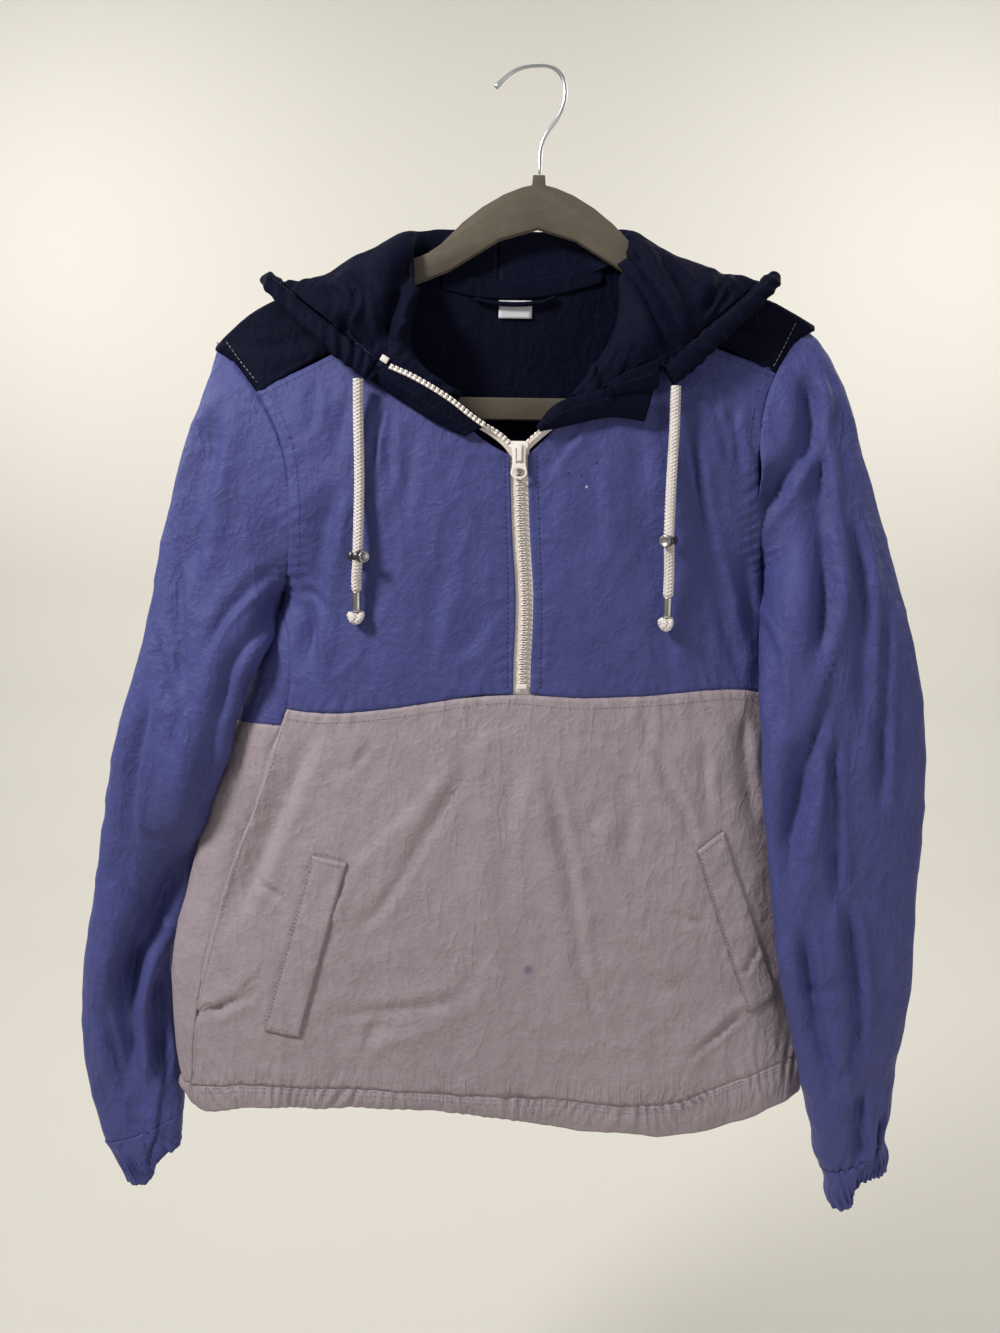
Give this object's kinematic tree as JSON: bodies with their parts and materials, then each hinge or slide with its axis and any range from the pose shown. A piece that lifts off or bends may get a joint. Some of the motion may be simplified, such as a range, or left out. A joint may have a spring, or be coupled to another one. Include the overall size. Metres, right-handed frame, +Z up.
{
  "type": "windbreaker jacket on a hanger",
  "caption": "Half-zip pullover windbreaker with a drawcord hood, yoke, welt pockets and gathered cuffs and hem, hanging on a slim flocked hanger with a wire hook.",
  "frame": {"origin": "underside of the hook's crown, where it bears on a rod or a wall hook", "axes": "+Z up, +X to the viewer's right, -Y out of the garment's front"},
  "size_m": [0.6812, 0.109, 0.8823],
  "materials": {
    "periwinkle_cloth": "thin crinkled nylon, periwinkle blue",
    "navy_cloth": "thin crinkled nylon, navy",
    "lilac_cloth": "thin crinkled nylon, lilac grey",
    "label_cloth": "woven, blank",
    "zip_tape": "woven polyester tape",
    "braided_cord": "soft round braid, off white",
    "white_moulding": "moulded plastic, off white",
    "flocked_plastic": "short velvet flock, taupe",
    "bright_wire": "plated wire",
    "bright_metal": "satin silver",
    "dark_metal": "dark gunmetal"
  },
  "bodies": {
    "windbreaker": {"hanger_body": "flocked_plastic", "hanger_hook": "bright_wire", "front_upper_left": "periwinkle_cloth", "front_upper_right": "periwinkle_cloth", "front_lower": "lilac_cloth", "back_upper": "periwinkle_cloth", "back_lower": "lilac_cloth", "yoke": "navy_cloth", "sleeve_left": "periwinkle_cloth", "sleeve_right": "periwinkle_cloth", "cuff_left": "periwinkle_cloth", "cuff_right": "periwinkle_cloth", "hem_casing": "lilac_cloth", "hood_left": "navy_cloth", "hood_right": "navy_cloth", "hood_casing_left": "navy_cloth", "hood_casing_right": "navy_cloth", "collar_band_left": "navy_cloth", "collar_band_right": "navy_cloth", "zip_guard": "navy_cloth", "neck_tape": "navy_cloth", "hanging_loop": "navy_cloth", "label": "label_cloth", "pocket_welt_left": "lilac_cloth", "pocket_welt_right": "lilac_cloth", "zip_tape_left": "zip_tape", "zip_tape_right": "zip_tape", "zip_chain": "white_moulding", "zip_bottom_stop": "white_moulding", "zip_top_stop": "white_moulding", "zip_slider": "white_moulding", "drawcord_left": "braided_cord", "drawcord_right": "braided_cord", "drawcord_tail_left": "braided_cord", "drawcord_tail_right": "braided_cord", "knot_left": "braided_cord", "knot_right": "braided_cord", "ferrule_left": "bright_metal", "ferrule_right": "bright_metal", "cord_lock_left": "dark_metal", "cord_lock_right": "dark_metal"},
    "pull_tab": {"zip_pull_tab": "white_moulding"},
    "plunger_left": {"cord_lock_plunger_left": "bright_metal"},
    "plunger_right": {"cord_lock_plunger_right": "bright_metal"}
  },
  "joints": [
    {"name": "pull_tab_hinge", "type": "hinge", "parent": "windbreaker", "child": "pull_tab", "pos_m": [-0.01172, -0.04638, -0.26636], "axis": [-1, 0, 0], "range_deg": [0, 165]},
    {"name": "plunger_left_slide", "type": "slide", "parent": "windbreaker", "child": "plunger_left", "axis": [-0.6691, 0.7431, 0], "range_m": [0, 0.0021], "stiffness_N_per_m": 400, "springref_m": -0.004},
    {"name": "plunger_right_slide", "type": "slide", "parent": "windbreaker", "child": "plunger_right", "axis": [0.5, 0.866, 0], "range_m": [0, 0.0021], "stiffness_N_per_m": 400, "springref_m": -0.004}
  ]
}
